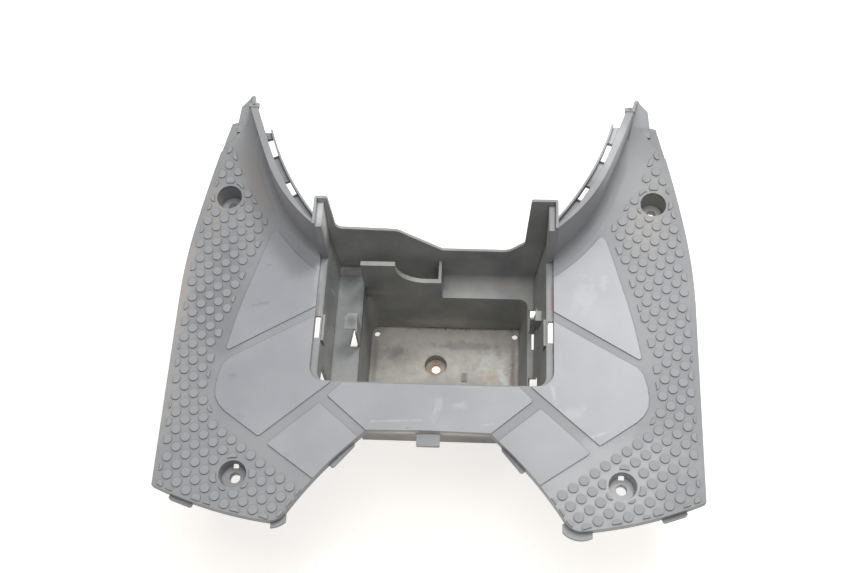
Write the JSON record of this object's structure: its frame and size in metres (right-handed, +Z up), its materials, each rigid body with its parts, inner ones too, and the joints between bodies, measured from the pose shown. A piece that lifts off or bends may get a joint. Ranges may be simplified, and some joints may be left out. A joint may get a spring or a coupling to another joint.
{
  "type": "scooter floorboard",
  "caption": "Moulded plastic footboard for a small scooter with raised grip dots, a battery tray in the middle and two forward horns.",
  "frame": {"origin": "centre of the bounding box in plan, at the level of the ribs under the battery bay that the part rests on", "axes": "+X across the scooter to the right of someone looking towards the horns, +Y towards the horns, +Z up, square to the flat tread"},
  "size_m": [0.4174, 0.3802, 0.18],
  "materials": {
    "plastic": "moulded dark grey plastic with a fine satin grain, worn and dusty"
  },
  "bodies": {
    "root": {"floorboard": "plastic"}
  },
  "joints": []
}
